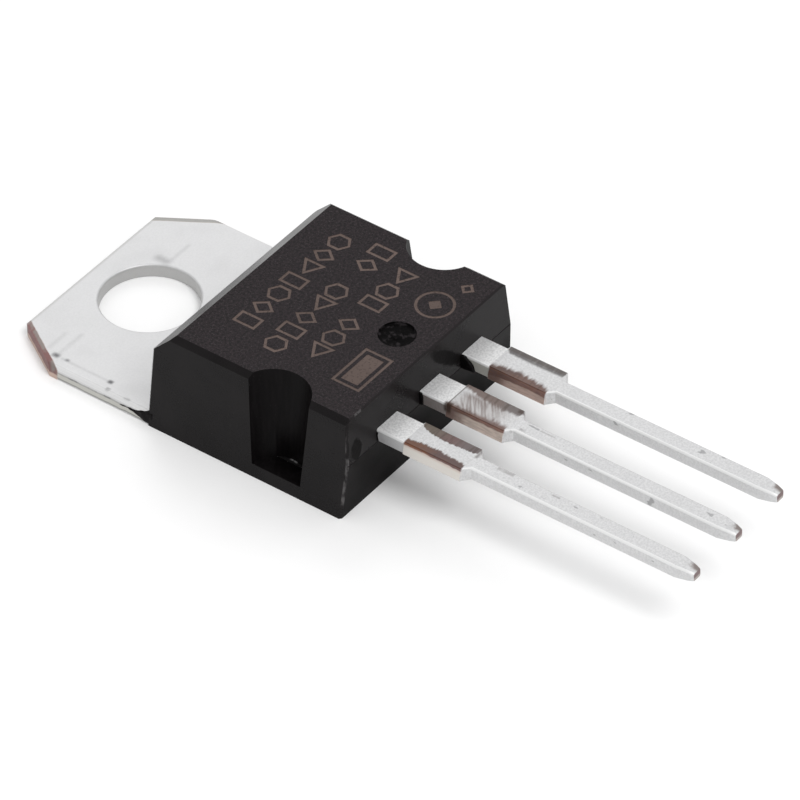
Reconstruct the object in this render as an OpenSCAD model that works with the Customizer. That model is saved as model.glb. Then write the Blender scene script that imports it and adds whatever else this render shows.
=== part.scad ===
// Voltage regulator in a flat moulded case with a screw tab and three leads.
// It lies on the back of its tab. The origin is the middle of the screw hole on
// the back face, +Y points to the free end of the tab and +Z is the marked side.

/* [Tab and strip] */
// Thickness of the strip that the tab and the leads are stamped from
strip_t = 0.57; // [0.45:0.01:0.7]
// Width of the tab
tab_w = 10.2; // [9.6:0.1:10.6]
// Middle of the screw hole to the free end of the tab
hole_to_end = 2.75; // [2.5:0.05:3.2]
// Diameter of the screw hole
hole_d = 3.8; // [3:0.05:4.2]
// Corner cut, measured across the tab
corner_cut_x = 1.3; // [0.4:0.1:2]
// Corner cut, measured along the tab
corner_cut_y = 2.1; // [0.4:0.1:2.5]

/* [Moulding] */
// How far the moulding stands out past each side of the tab at the back face
body_over_tab = 0.05; // [0.02:0.01:0.3]
// Length of the moulding between its two feet
body_l = 9.04; // [8:0.02:10]
// Height of the moulding above the back face
body_h = 4.4; // [4:0.05:5]
// Middle of the screw hole to the foot of the moulding
hole_to_body = 3.9; // [3.4:0.1:4.6]
// Draft of the two long sides, in degrees
side_draft = 5; // [1:0.5:8]
// Draft of the end next to the tab, in degrees
tab_end_draft = 3; // [1:0.5:8]
// Draft of the lead end above the leads, in degrees
lead_end_draft = 3; // [1:0.5:8]
// Draft of the lead end below the leads, in degrees
under_draft = 5; // [1:0.5:8]
// Sloping edge between the marked face and the tab end
top_slope = 0.95; // [0.3:0.05:1.4]
// Bevel along the long edges of the marked face
edge_bevel = 0.2; // [0.05:0.05:0.4]
// Bevel along the lead edge of the marked face
lead_edge_bevel = 0.08; // [0.02:0.02:0.3]
// Cut of the four upright corners
corner_bevel = 0.15; // [0.05:0.05:0.4]

/* [Side notches and pin mark] */
// Lead end of the moulding to the middle of the notches
notch_to_end = 3.15; // [2:0.05:5]
// Radius of a notch at the floor that it opens on the strip
notch_foot_r = 1.09; // [0.7:0.01:1.4]
// Draft of a notch, in degrees
notch_draft = 5; // [1:0.5:8]
// Diameter of the round mark that the ejector pin leaves
pin_mark_d = 1.38; // [0.8:0.02:2]
// Depth of the pin mark
pin_mark_depth = 0.1; // [0.03:0.01:0.3]
// Lead end of the moulding to the middle of the pin mark
pin_mark_to_end = 1.56; // [1:0.02:3]
// Pin mark to the middle plane of the part
pin_mark_x = 0.12; // [-2:0.02:2]
// Diameter of the raised centre of the pin mark
pin_dot_d = 0.5; // [0.2:0.05:0.7]
// Height of the raised centre above the floor of the pin mark
pin_dot_h = 0.05; // [0.02:0.01:0.08]

/* [Leads] */
// Spacing of neighbouring leads
lead_pitch = 2.54; // [2.2:0.01:2.8]
// Underside of the leads above the back face
lead_z = 2.42; // [2.1:0.01:2.8]
// Length of the leads outside the moulding
lead_l = 13.46; // [8:0.1:16]
// Width of a lead where it leaves the moulding
shoulder_w = 1.26; // [1:0.02:1.5]
// Length of that wide part
shoulder_l = 1.16; // [0.6:0.02:2]
// Width where the tie bar between the leads was cut away
stub_w = 1.38; // [1.1:0.02:1.7]
// Length of the part that the tie bar was cut from
stub_l = 2.5; // [1:0.1:3]
// Slanted step down to the thin part of a lead
step_l = 0.26; // [0.1:0.02:0.5]
// Width of the thin part of a lead
lead_w = 0.7; // [0.6:0.01:0.88]
// Length of the pointed tip
tip_l = 0.75; // [0.3:0.05:1.5]
// Width of the end of the tip
tip_w = 0.42; // [0.2:0.02:0.56]
// Thickness of the end of the tip
tip_t = 0.36; // [0.2:0.02:0.44]

/* [Inside the moulding] */
// Side of the tab to the side of the pad that the chip sits on
pad_inset = 0.85; // [0.5:0.05:1.2]
// Slanted lower edge that locks the pad into the moulding
pad_lock = 0.2; // [0.1:0.02:0.4]
// How far the full width of the tab runs into the moulding
tab_root = 0.35; // [0.1:0.05:0.6]
// Lead end of the moulding to the end of the pad
pad_to_end = 2.54; // [2:0.02:3]
// Straight run of the middle lead inside the moulding
middle_run = 0.6; // [0.3:0.05:0.9]
// Inner radius of the two bends of the middle lead
bend_r = 0.3; // [0.1:0.05:0.5]
// Width of the bond posts of the outer leads
post_w = 2.1; // [1.6:0.1:2.4]
// Length of the bond posts
post_l = 1.2; // [0.8:0.05:1.6]
// Lead end of the moulding to the bond posts
post_to_end = 0.9; // [0.5:0.05:1.2]
// Cut corners of the bond posts
post_cut = 0.3; // [0.1:0.05:0.4]
// Width of the chip
chip_w = 2.2; // [1.4:0.1:3]
// Length of the chip
chip_l = 1.8; // [1.2:0.1:2.6]
// Thickness of the chip
chip_t = 0.28; // [0.15:0.01:0.4]
// End of the pad to the near edge of the chip
chip_to_pad_end = 1.3; // [1:0.1:2.5]
// Thickness of the solder under the chip
solder_t = 0.06; // [0.02:0.01:0.1]
// How far the solder shows around the chip
solder_rim = 0.15; // [0.05:0.05:0.3]
// Diameter of the bond wires
wire_d = 0.15; // [0.1:0.01:0.2]
// Steepness at which a bond wire comes down on its high foot, in degrees
wire_landing = 20; // [10:5:30]
// Length of the flattened feet of a bond wire
wire_foot_l = 0.5; // [0.4:0.05:0.7]
// Width of the flattened feet
wire_foot_w = 0.24; // [0.2:0.02:0.34]
// Thickness of the flattened feet
wire_foot_t = 0.1; // [0.08:0.01:0.12]
// Feet on the chip to its edges
bond_inset = 0.45; // [0.3:0.05:0.6]
// End of the chip to the foot of the ground wire on the pad
ground_reach = 0.65; // [0.4:0.05:0.9]

/* [Hidden] */
$fn = 64;
bend_steps = 6;
beyond = 1;

body_w = tab_w + 2 * body_over_tab;
pad_w = tab_w - 2 * pad_inset;
foot_y = -hole_to_body;
end_y = foot_y - body_l;
mid_y = (foot_y + end_y) / 2;
pad_end_y = end_y + pad_to_end;
lead_top = lead_z + strip_t;
tip_y = end_y - lead_l;
post_y = end_y + post_to_end;
notch_y = end_y + notch_to_end;
chip_near_y = pad_end_y + chip_to_pad_end;
chip_z = strip_t + solder_t;
chip_top = chip_z + chip_t;

// Half the width of the moulding at a height, and its two ends there
function half_w(z) = body_w / 2 - z * tan(side_draft);
function tab_side_y(z) = foot_y - z * tan(tab_end_draft);
function lead_side_y(z) = z < lead_z
    ? end_y + (lead_z - z) * tan(under_draft)
    : end_y + (z - lead_z) * tan(lead_end_draft);

// Points along an arc in the plane of a profile
function arc(c, r, from, to) =
    [for (i = [0:bend_steps]) let (a = from + (to - from) * i / bend_steps)
        c + r * [cos(a), sin(a)]];

// A profile drawn in the y-z plane, made solid over a width in x
module across(width)
    translate([-width / 2, 0, 0]) rotate([90, 0, 90]) linear_extrude(width) children();

// A profile drawn in the x-z plane, made solid between two places in y
module along(y_from, y_to)
    translate([0, y_to, 0]) rotate([90, 0, 0]) linear_extrude(y_to - y_from) children();

// Side view of the moulding: drafts that meet at the underside of the leads
module side_view() {
    slope_z = body_h - top_slope;
    bevel_z = body_h - lead_edge_bevel;
    polygon([[lead_side_y(0), 0], [foot_y, 0], [tab_side_y(slope_z), slope_z],
        [tab_side_y(slope_z) - top_slope, body_h],
        [lead_side_y(bevel_z) + lead_edge_bevel, body_h],
        [lead_side_y(bevel_z), bevel_z], [end_y, lead_z]]);
}

// View of the moulding from its lead end
module end_view() {
    bevel_z = body_h - edge_bevel;
    w = half_w(bevel_z);
    polygon([[-body_w / 2, 0], [body_w / 2, 0], [w, bevel_z], [w - edge_bevel, body_h],
        [edge_bevel - w, body_h], [-w, bevel_z]]);
}

// View along a diagonal of the moulding, which cuts its upright corners
module corner_view() {
    function lead_side(z) = half_w(z) + mid_y - lead_side_y(z) - corner_bevel;
    function tab_side(z) = half_w(z) + tab_side_y(z) - mid_y - corner_bevel;
    polygon([for (p = [[-lead_side(0), 0], [tab_side(0), 0], [tab_side(body_h), body_h],
        [-lead_side(body_h), body_h], [-lead_side(lead_z), lead_z]]) [p[0] / sqrt(2), p[1]]]);
}

module moulded_block() {
    reach = body_w + body_l;
    intersection() {
        across(body_w + beyond) side_view();
        along(end_y - beyond, foot_y + beyond) end_view();
        for_both_diagonals(reach) corner_view();
    }
}

// The part that is inside both diagonal views
module for_both_diagonals(reach)
    intersection() {
        translate([0, mid_y, 0]) rotate([0, 0, -45]) across(reach) children();
        translate([0, mid_y, 0]) mirror([1, 0, 0]) rotate([0, 0, -45]) across(reach) children();
    }

// Tapered notch in a long side, open at the top and floored by the strip's own plane
module notch() {
    h = body_h + beyond - strip_t;
    translate([body_w / 2, notch_y, strip_t])
        cylinder(h = h, r1 = notch_foot_r, r2 = notch_foot_r + h * tan(notch_draft));
}

// Round mark of the ejector pin, with a raised centre
module pin_mark() {
    translate([pin_mark_x, end_y + pin_mark_to_end, body_h - pin_mark_depth])
        difference() {
            cylinder(h = pin_mark_depth + beyond, d = pin_mark_d);
            translate([0, 0, -beyond]) cylinder(h = beyond + pin_dot_h, d = pin_dot_d);
        }
}

// Outline of a lead seen from above: wide root, cut tie bar, slanted step, thin part, tip
module lead_outline(inside_y) {
    stub_y = end_y - shoulder_l;
    step_y = stub_y - stub_l;
    half = [[shoulder_w / 2, inside_y], [shoulder_w / 2, stub_y], [stub_w / 2, stub_y],
        [stub_w / 2, step_y], [lead_w / 2, step_y - step_l], [lead_w / 2, tip_y + tip_l],
        [tip_w / 2, tip_y]];
    count = len(half) - 1;
    polygon(concat(half, [for (i = [count:-1:0]) [-half[i][0], half[i][1]]]));
}

// Side view of a straight lead, thinner towards the tip
module lead_side_view(inside_y) {
    tip_low = lead_z + (strip_t - tip_t) / 2;
    polygon([[inside_y, lead_z], [inside_y, lead_top], [tip_y + tip_l, lead_top],
        [tip_y, tip_low + tip_t], [tip_y, tip_low], [tip_y + tip_l, lead_z]]);
}

module straight_lead(inside_y)
    intersection() {
        translate([0, 0, lead_z - beyond])
            linear_extrude(strip_t + 2 * beyond) lead_outline(inside_y);
        across(stub_w + beyond) lead_side_view(inside_y);
    }

// Outer lead with the wide post that its bond wire lands on
module outer_lead(x)
    translate([x, 0, 0]) {
        straight_lead(post_y + post_l / 2);
        translate([0, 0, lead_z]) linear_extrude(strip_t) bond_post();
    }

module bond_post() {
    far_y = post_y + post_l;
    w = post_w / 2;
    polygon([[-w, post_y], [w, post_y], [w, far_y - post_cut], [w - post_cut, far_y],
        [post_cut - w, far_y], [-w, far_y - post_cut]]);
}

// Side view of the middle lead's way up from the pad, with two equal bends
module rise_view() {
    run = pad_to_end - middle_run;
    angle = rise_angle(run, lead_z, bend_r, strip_t);
    low_c = [pad_end_y, strip_t + bend_r];
    high_c = [end_y + middle_run, lead_z - bend_r];
    polygon(concat(
        arc(low_c, bend_r + strip_t, 270, 270 - angle),
        arc(high_c, bend_r, 90 - angle, 90),
        [[end_y, lead_z], [end_y, lead_top]],
        arc(high_c, bend_r + strip_t, 90, 90 - angle),
        arc(low_c, bend_r, 270 - angle, 270),
        [[pad_end_y + strip_t, strip_t], [pad_end_y + strip_t, 0]]));
}

// Steepness at which a line touches the low bend from outside and the high bend from outside
function rise_angle(run, rise, r, t) =
    let (dz = rise - t - 2 * r, gap = 2 * r + t, d = norm([run, dz]))
    atan2(dz, run) + asin(gap / d);

// The strip's stamped outline from the free end of the tab to the end of its root
module tab_outline() {
    w = tab_w / 2;
    root_y = foot_y - tab_root;
    polygon([[-w, root_y], [w, root_y], [w, hole_to_end - corner_cut_y],
        [w - corner_cut_x, hole_to_end], [corner_cut_x - w, hole_to_end],
        [-w, hole_to_end - corner_cut_y]]);
}

// Section of the pad, with the slanted edges that the moulding grips
module pad_section() {
    w = pad_w / 2;
    polygon([[pad_lock - w, 0], [w - pad_lock, 0], [w, pad_lock], [w, strip_t],
        [-w, strip_t], [-w, pad_lock]]);
}

module frame_metal()
    union() {
        difference() {
            linear_extrude(strip_t) tab_outline();
            translate([0, 0, -beyond]) cylinder(h = strip_t + 2 * beyond, d = hole_d);
        }
        along(pad_end_y, foot_y - tab_root / 2) pad_section();
        across(shoulder_w) rise_view();
        straight_lead(end_y + middle_run);
    }

// Bond wire: one arc between two flattened feet, from the lower face to the higher one
module bond_wire(low, high) {
    reach = norm([high[0] - low[0], high[1] - low[1]]);
    turn = atan2(high[1] - low[1], high[0] - low[0]);
    lift = 2 * atan2(high[2] - low[2], reach) + wire_landing;
    sweep = lift + wire_landing;
    r = norm(high - low) / (2 * sin(sweep / 2));
    translate(low) rotate([0, 0, turn]) {
        wire_foot();
        translate([r * sin(lift), 0, wire_d / 2 - r * cos(lift)]) rotate([90, 0, 0])
            rotate_extrude(angle = sweep, start = 90 + lift - sweep)
                translate([r, 0]) circle(d = wire_d);
    }
    translate(high) rotate([0, 0, turn]) wire_foot();
}

module wire_foot()
    linear_extrude(wire_foot_t) {
        flat = wire_foot_l - wire_foot_w;
        translate([-flat / 2, -wire_foot_w / 2]) square([flat, wire_foot_w]);
        for (s = [-1, 1]) translate([s * flat / 2, 0]) circle(d = wire_foot_w);
    }

// The landing places of the three wires
function chip_bond(s) = [s * (chip_w / 2 - bond_inset), chip_near_y + bond_inset, chip_top];
function post_bond(s) = [s * lead_pitch, post_y + post_l / 2, lead_top];

module outer_wire(s) bond_wire(chip_bond(s), post_bond(s));

module pad_wire()
    bond_wire([0, chip_near_y - ground_reach, strip_t], [0, chip_near_y + bond_inset, chip_top]);

module chip_block()
    translate([-chip_w / 2, chip_near_y, chip_z]) cube([chip_w, chip_l, chip_t]);

module solder_layer()
    translate([-chip_w / 2 - solder_rim, chip_near_y - solder_rim, strip_t])
        cube([chip_w + 2 * solder_rim, chip_l + 2 * solder_rim, solder_t]);

module moulded_body()
    color("#2b292a")
    difference() {
        moulded_block();
        notch();
        mirror([1, 0, 0]) notch();
        pin_mark();
        frame_metal();
        for (s = [-1, 1]) {
            outer_lead(s * lead_pitch);
            outer_wire(s);
        }
        pad_wire();
        chip_block();
        solder_layer();
    }

module tab_frame() color("#d4d4d4") frame_metal();

module input_lead() color("#d0d0d0") outer_lead(-lead_pitch);

module output_lead() color("#d0d0d0") outer_lead(lead_pitch);

module chip() color("#5a5f68") chip_block();

module chip_solder() color("#9a9da0") solder_layer();

module input_wire() color("#c9ccd0") outer_wire(-1);

module output_wire() color("#c9ccd0") outer_wire(1);

module ground_wire() color("#c9ccd0") pad_wire();

moulded_body();
tab_frame();
input_lead();
output_lead();
chip();
chip_solder();
input_wire();
output_wire();
ground_wire();
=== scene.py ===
import math
import bmesh
import bpy
from mathutils import Matrix, Quaternion, Vector, noise


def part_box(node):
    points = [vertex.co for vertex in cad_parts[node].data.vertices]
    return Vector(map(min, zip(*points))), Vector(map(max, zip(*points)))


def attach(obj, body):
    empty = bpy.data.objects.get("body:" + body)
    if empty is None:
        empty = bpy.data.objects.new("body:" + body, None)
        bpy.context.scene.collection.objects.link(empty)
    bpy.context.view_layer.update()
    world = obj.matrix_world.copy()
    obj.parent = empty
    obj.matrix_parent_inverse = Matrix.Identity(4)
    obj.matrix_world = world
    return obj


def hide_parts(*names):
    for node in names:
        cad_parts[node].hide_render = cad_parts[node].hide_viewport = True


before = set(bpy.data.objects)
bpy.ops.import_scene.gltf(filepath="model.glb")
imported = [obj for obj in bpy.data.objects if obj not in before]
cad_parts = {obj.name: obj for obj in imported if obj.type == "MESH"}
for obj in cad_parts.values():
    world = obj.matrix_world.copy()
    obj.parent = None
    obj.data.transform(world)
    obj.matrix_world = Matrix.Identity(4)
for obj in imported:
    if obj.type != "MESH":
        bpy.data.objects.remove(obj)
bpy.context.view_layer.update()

# Sizes are in millimetres. finishPiece turns a mesh into metres at the end.
mm = 0.001
near = 0.001  # places closer than this count as one
past = 1  # how far a cutter reaches beyond what it cuts
scene = bpy.context.scene
scene.view_settings.view_transform = "Standard"  # keeps the white floor white


def boxInMm(node):
    low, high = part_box(node)
    return low / mm, high / mm


caseLow, caseHigh = boxInMm("moulded_body")
frameLow, frameHigh = boxInMm("tab_frame")
leadLow, leadHigh = boxInMm("input_lead")
stripThickness = leadHigh.z - leadLow.z
leadPitch = -(leadLow.x + leadHigh.x) / 2


cameraView = {
    "azimuth": -52.387,  # degrees, 0 looks along +Y
    "elevation": 40.830,
    "roll": -1.129,
    "target": (-0.05, -11.58, 1.5),
    "distance": 262.3,
    "lens": 327.7,
    "sensorWidth": 36,
}


def hang(name, data, place, direction):
    # a camera or a lamp that looks along a direction
    made = bpy.data.objects.new(name, data)
    scene.collection.objects.link(made)
    made.location = Vector(place) * mm
    made.rotation_mode = "QUATERNION"
    made.rotation_quaternion = direction.to_track_quat("-Z", "Y")
    return made


def makeCamera(view):
    a, e = math.radians(view["azimuth"]), math.radians(view["elevation"])
    back = Vector((math.sin(a) * math.cos(e), -math.cos(a) * math.cos(e), math.sin(e)))
    lens = bpy.data.cameras.new("camera")
    lens.lens = view["lens"]
    lens.sensor_width = view["sensorWidth"]
    lens.clip_start = 10 * mm
    camera = hang("camera", lens, Vector(view["target"]) + back * view["distance"], -back)
    roll = Quaternion((0, 0, 1), math.radians(view["roll"]))
    camera.rotation_quaternion = camera.rotation_quaternion @ roll
    scene.camera = camera


makeCamera(cameraView)
print("camera made")


class Wire:
    # an output socket that can be used in sums
    def __init__(self, finish, socket):
        self.finish = finish
        self.socket = socket

    def __add__(self, other):
        return self.finish.math("ADD", self, other)

    def __radd__(self, other):
        return self.finish.math("ADD", other, self)

    def __sub__(self, other):
        return self.finish.math("SUBTRACT", self, other)

    def __rsub__(self, other):
        return self.finish.math("SUBTRACT", other, self)

    def __mul__(self, other):
        return self.finish.math("MULTIPLY", self, other)

    def __rmul__(self, other):
        return self.finish.math("MULTIPLY", other, self)

    def __abs__(self):
        return self.finish.math("ABSOLUTE", self)


class Finish:
    # one material, built node by node around a Principled BSDF
    def __init__(self, name):
        self.material = bpy.data.materials.new(name)
        self.material.use_nodes = True
        self.nodes = self.material.node_tree.nodes
        self.links = self.material.node_tree.links
        self.shader = self.nodes["Principled BSDF"]
        coordinates = self.node("ShaderNodeTexCoord", {}, {}, "Object")
        self.place = self.node(  # in millimetres
            "ShaderNodeVectorMath", {"operation": "SCALE"}, {0: coordinates, "Scale": 1 / mm}
        )
        self.x, self.y, self.z = self.split(self.place)

    def feed(self, socket, value):
        if isinstance(value, Wire):
            self.links.new(value.socket, socket)
        else:
            socket.default_value = value

    def node(self, kind, settings, sockets, out=0):
        made = self.nodes.new(kind)
        for name, value in settings.items():
            setattr(made, name, value)
        for name, value in sockets.items():
            self.feed(made.inputs[name], value)
        return Wire(self, made.outputs[out])

    def math(self, operation, first, second=0.0):
        return self.node("ShaderNodeMath", {"operation": operation}, {0: first, 1: second})

    def vector(self, operation, first, second):
        settings = {"operation": operation}
        return self.node("ShaderNodeVectorMath", settings, {0: first, 1: second})

    def length(self, first, second):
        return self.math("SQRT", first * first + second * second)

    def split(self, vector):
        parts = self.node("ShaderNodeSeparateXYZ", {}, {0: vector})
        return [Wire(self, output) for output in parts.socket.node.outputs]

    def normal(self):
        return self.split(self.node("ShaderNodeNewGeometry", {}, {}, "True Normal"))

    def noise(self, perMm, detail=2.0, roughness=0.5, offset=0.0, place=None):
        # perMm is how many grains fit in a millimetre
        place = self.vector("ADD", place or self.place, (offset,) * 3)
        sockets = {"Vector": place, "Scale": perMm, "Detail": detail, "Roughness": roughness}
        return self.node("ShaderNodeTexNoise", {}, sockets)

    def stretched(self, scales, perMm, detail=2.0, turn=0.0):
        # the streaks run along X when its scale is the small one, or along X turned by that angle
        sockets = {"Vector": self.place, "Angle": math.radians(-turn)}
        place = self.node("ShaderNodeVectorRotate", {"rotation_type": "Z_AXIS"}, sockets)
        return self.noise(perMm, detail, place=self.vector("MULTIPLY", place, scales))

    def rise(self, value, low, high):
        # 0 below low, 1 above high, smooth between; low above high falls instead
        return self.node(
            "ShaderNodeMapRange",
            {"interpolation_type": "SMOOTHSTEP"},
            {"Value": value, "From Min": low, "From Max": high},
        )

    def band(self, value, low, high, soft):
        return self.rise(value, low - soft, low + soft) * self.rise(value, high + soft, high - soft)

    def curve(self, value, first, middle, last):
        # a smooth path through three sizes, at value 1, a half and 0
        square = 2 * (first + last - 2 * middle)
        return (value * square + (first - last - square)) * value + last

    def patch(self, xRange, yRange, soft):
        return self.band(self.x, *xRange, soft) * self.band(self.y, *yRange, soft)

    def mix(self, mask, *shades):
        first, second = (
            shade if isinstance(shade, Wire) else (*shade, 1) for shade in shades
        )
        # sockets 0, 6 and 7 are the factor and the two colours, and output 2 is the mixed one
        return self.node("ShaderNodeMix", {"data_type": "RGBA"}, {0: mask, 6: first, 7: second}, 2)

    def coats(self, colour, *layers):
        # lays each (mask, shade) over the colour, one after the other
        for mask, shade in layers:
            colour = self.mix(mask, colour, shade)
        return colour

    def bump(self, height, depth, strength):
        sockets = {"Height": height, "Distance": depth * mm, "Strength": strength}
        return self.node("ShaderNodeBump", {}, sockets)

    def set(self, **values):
        for name, value in values.items():
            self.feed(self.shader.inputs[socketNames[name]], value)
        return self.material


socketNames = {
    "colour": "Base Color",
    "metallic": "Metallic",
    "roughness": "Roughness",
    "specular": "Specular IOR Level",
    "normal": "Normal",
}


def toned(shade, factor):
    return tuple(value * factor for value in shade)


mouldingLook = {
    "top": (0.0200, 0.0125, 0.0150),
    "topDark": (0.0045, 0.0028, 0.0036),
    # speck is the colour of painted glints on the grained top; the pin mark's flecks use it too
    "speck": (0.060, 0.052, 0.056),
    "side": (0.0070, 0.0060, 0.0063),
    # notch is a painted shade: the notches' colour, and the lead end's below the parting line; the
    # pin mark, the dark patches, the pad's film and the resin flash use it as a dark colour
    "notch": (0.0032, 0.0026, 0.0028),
    # the next two are colours of painted highlights on the lead end's corner cuts and upper bevel
    "scuff": (0.110, 0.105, 0.106),
    "brim": (0.0175, 0.0150, 0.0158),
    "mark": (0.102, 0.075, 0.066),
    # on the lead end: x and z of the middle, turn in degrees, half length, half width; the second,
    # beside the output lead, is a painted reflection of that lead's dark near side
    "pits": [(-4.35, 2.85, 90, 0.47, 0.31), (1.02, 3.42, -41, 1.00, 0.28)],
}


def grainedMoulding(look):
    finish = Finish("grained_moulding")
    grain = finish.noise(10, 3, 0.65)
    fine = finish.noise(24, 2, 0.6, 3.1)
    clouds = finish.noise(0.5, 3, 0.5, 7.7)
    # the specks are painted glints of the grain: a lighter colour, and a little less rough
    specks = finish.rise(fine + grain * 0.35, 0.76, 0.90)
    return finish.set(
        colour=finish.coats(
            look["topDark"],
            (finish.rise(grain, 0.36, 0.62), look["top"]),
            (clouds * 0.35, look["side"]),
            (specks * 0.8, look["speck"]),
        ),
        roughness=0.62 - specks * 0.2,
        specular=0.20,
        normal=finish.bump(grain * 0.7 + fine * 0.3, 0.030, 0.9),
    )


def smoothMoulding(look):
    finish = Finish("smooth_moulding")
    rise = finish.rise
    fine = finish.noise(16, 2, 0.5)
    flow = finish.noise(0.6, 4, 0.6, 2.2)
    # pale broken lines on the corner cuts and the upper bevel round the lead end: painted
    # highlights along these edges, a little rougher
    xNormal, yNormal, up = finish.normal()
    atEnd = rise(finish.y, endY + 0.35, endY + 0.25)
    corner = rise(abs(xNormal * yNormal), 0.15, 0.3)
    brim = rise(abs(yNormal * up), 0.25, 0.4)
    broken = rise(finish.stretched((2.0, 2.0, 0.8), 2.0, 4), 0.44, 0.62)
    brimBroken = rise(finish.noise(4, 3, 0.6, 8.0), 0.50, 0.62) * rise(finish.x, -3.2, -4.2)
    edgeHighlights = atEnd * (corner * broken + brim * brimBroken * 0.7)
    # two dark, rough patches on the lead end: one by the -X corner, and one beside the output lead,
    # slanting away from it, that is a painted reflection of its dark near side in the glossy face
    ragged = finish.noise(4, 3, 0.6, 1.0)
    darkPatch = 0.0
    for x, z, turn, length, width in look["pits"]:
        cosine, sine = math.cos(math.radians(turn)), math.sin(math.radians(turn))
        across, upward = finish.x - x, finish.z - z
        long = (across * cosine + upward * sine) * (1 / length)
        short = (upward * cosine - across * sine) * (1 / width)
        darkPatch = rise(finish.length(long, short) + ragged * 0.75, 1.55, 1.2) + darkPatch
    darkPatch = darkPatch * rise(yNormal, -0.8, -0.9)
    return finish.set(
        colour=finish.coats(
            look["side"],
            (rise(flow, 0.35, 0.7), toned(look["side"], 1.4)),
            # the upper bevel at the lead end is lighter all along: a painted highlight
            (atEnd * brim * 0.8, look["brim"]),
            (edgeHighlights * 0.75, look["scuff"]),
            (darkPatch * 0.85, look["notch"]),
        ),
        roughness=0.20 + fine * 0.06 + flow * 0.10 + darkPatch * 0.4 + edgeHighlights * 0.3,
        specular=0.10,
        normal=finish.bump(fine * 0.6 + flow * 2 + ragged * darkPatch * 12, 0.004, 0.6),
    )


def underMoulding(look):
    # below the parting line the end was drawn from the other half of the mould and is duller; its
    # darker colour is painted shade on this lower part, which tilts down
    finish = Finish("under_moulding")
    fine = finish.noise(14, 2, 0.5)
    flow = finish.noise(0.7, 4, 0.6, 4.2)
    shine = finish.rise(finish.z, 1.2, 2.3)
    colour = finish.mix(finish.rise(flow, 0.35, 0.7), look["notch"], look["side"])
    return finish.set(
        colour=colour,
        roughness=0.42 - shine * 0.15 + fine * 0.1,
        specular=0.045,
        normal=finish.bump(fine * 0.6 + flow * 2, 0.004, 0.6),
    )


def notchMoulding(look):
    finish = Finish("notch_moulding")
    fine = finish.noise(16, 2, 0.5)
    drawn = finish.stretched((3.0, 3.0, 0.25), 2.5, 3)  # drag lines along the draft
    # the notches are painted darker than the sides, as shade in these recesses; the lighter drag
    # lines are their own
    light = toned(look["notch"], 1.6)
    return finish.set(
        colour=finish.mix(finish.rise(drawn, 0.4, 0.7), look["notch"], light),
        roughness=0.34 + drawn * 0.12,
        specular=0.07,
        normal=finish.bump(fine * 0.5 + drawn, 0.005, 0.6),
    )


def laserMark(look):
    finish = Finish("laser_mark")
    grain = finish.noise(11, 3, 0.6)
    tone = finish.rise(finish.noise(0.35, 2, 0.5, 5.5), 0.35, 0.65)
    mark = finish.mix(tone, look["mark"], toned(look["mark"], 1.3))
    return finish.set(
        colour=finish.mix(finish.rise(grain, 0.20, 0.50), toned(look["mark"], 0.4), mark),
        roughness=0.8,
        specular=0.2,
        normal=finish.bump(grain, 0.02, 0.8),
    )


def pinFloor(look):
    finish = Finish("pin_mark_floor")
    grain = finish.noise(4.5, 3, 0.55, 1.3)
    flecks = finish.rise(grain, 0.50, 0.70) * 0.35
    return finish.set(
        colour=finish.mix(flecks, toned(look["notch"], 0.5), look["speck"]),
        roughness=0.6 - flecks * 0.2,
        specular=0.04,
        normal=finish.bump(grain, 0.05, 1.0),
    )


metalLook = {
    "tin": (0.65, 0.65, 0.655),
    "tinDark": (0.48, 0.48, 0.485),
    # bright also paints highlights and light on the metal's rolled edges and sides
    "bright": (0.82, 0.82, 0.82),
    "grey": (0.36, 0.355, 0.34),
    "ash": (0.115, 0.108, 0.108),
    "dirt": (0.12, 0.12, 0.125),
    "soot": (0.045, 0.024, 0.016),
    "brown": (0.120, 0.060, 0.045),
    "rust": (0.225, 0.122, 0.098),
    "orange": (0.210, 0.072, 0.028),
    "plum": (0.130, 0.068, 0.066),
    "umber": (0.150, 0.108, 0.094),
    "clay": (0.540, 0.400, 0.345),
    "tan": (0.600, 0.500, 0.440),
    "moss": (0.100, 0.077, 0.055),
    "bareCut": (0.215, 0.115, 0.110),
    "cutGrey": (0.260, 0.225, 0.210),
    "peach": (0.560, 0.430, 0.370),
    "pale": (0.700, 0.665, 0.620),
    "olive": (0.52, 0.51, 0.45),
    "tipEnd": (0.38, 0.33, 0.30),
}


def tinBase(finish, look, speckle):
    # matt tin: fine crystals, a slow change of tone and darker pores
    crystals = finish.noise(12, 3, 0.6)
    tone = finish.noise(0.8, 3, 0.5, 4.0)
    pores = finish.rise(finish.noise(14, 2, 0.6, 9.0), 0.68, 0.78)
    colour = finish.coats(
        look["tin"],
        (finish.rise(crystals, 0.66, 0.34) * speckle, look["tinDark"]),
        (finish.rise(tone, 0.4, 0.75) * 0.18, look["tinDark"]),
        (pores * speckle, look["dirt"]),
    )
    return colour, 0.48 + crystals * 0.12 + pores * 0.1, crystals


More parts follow.
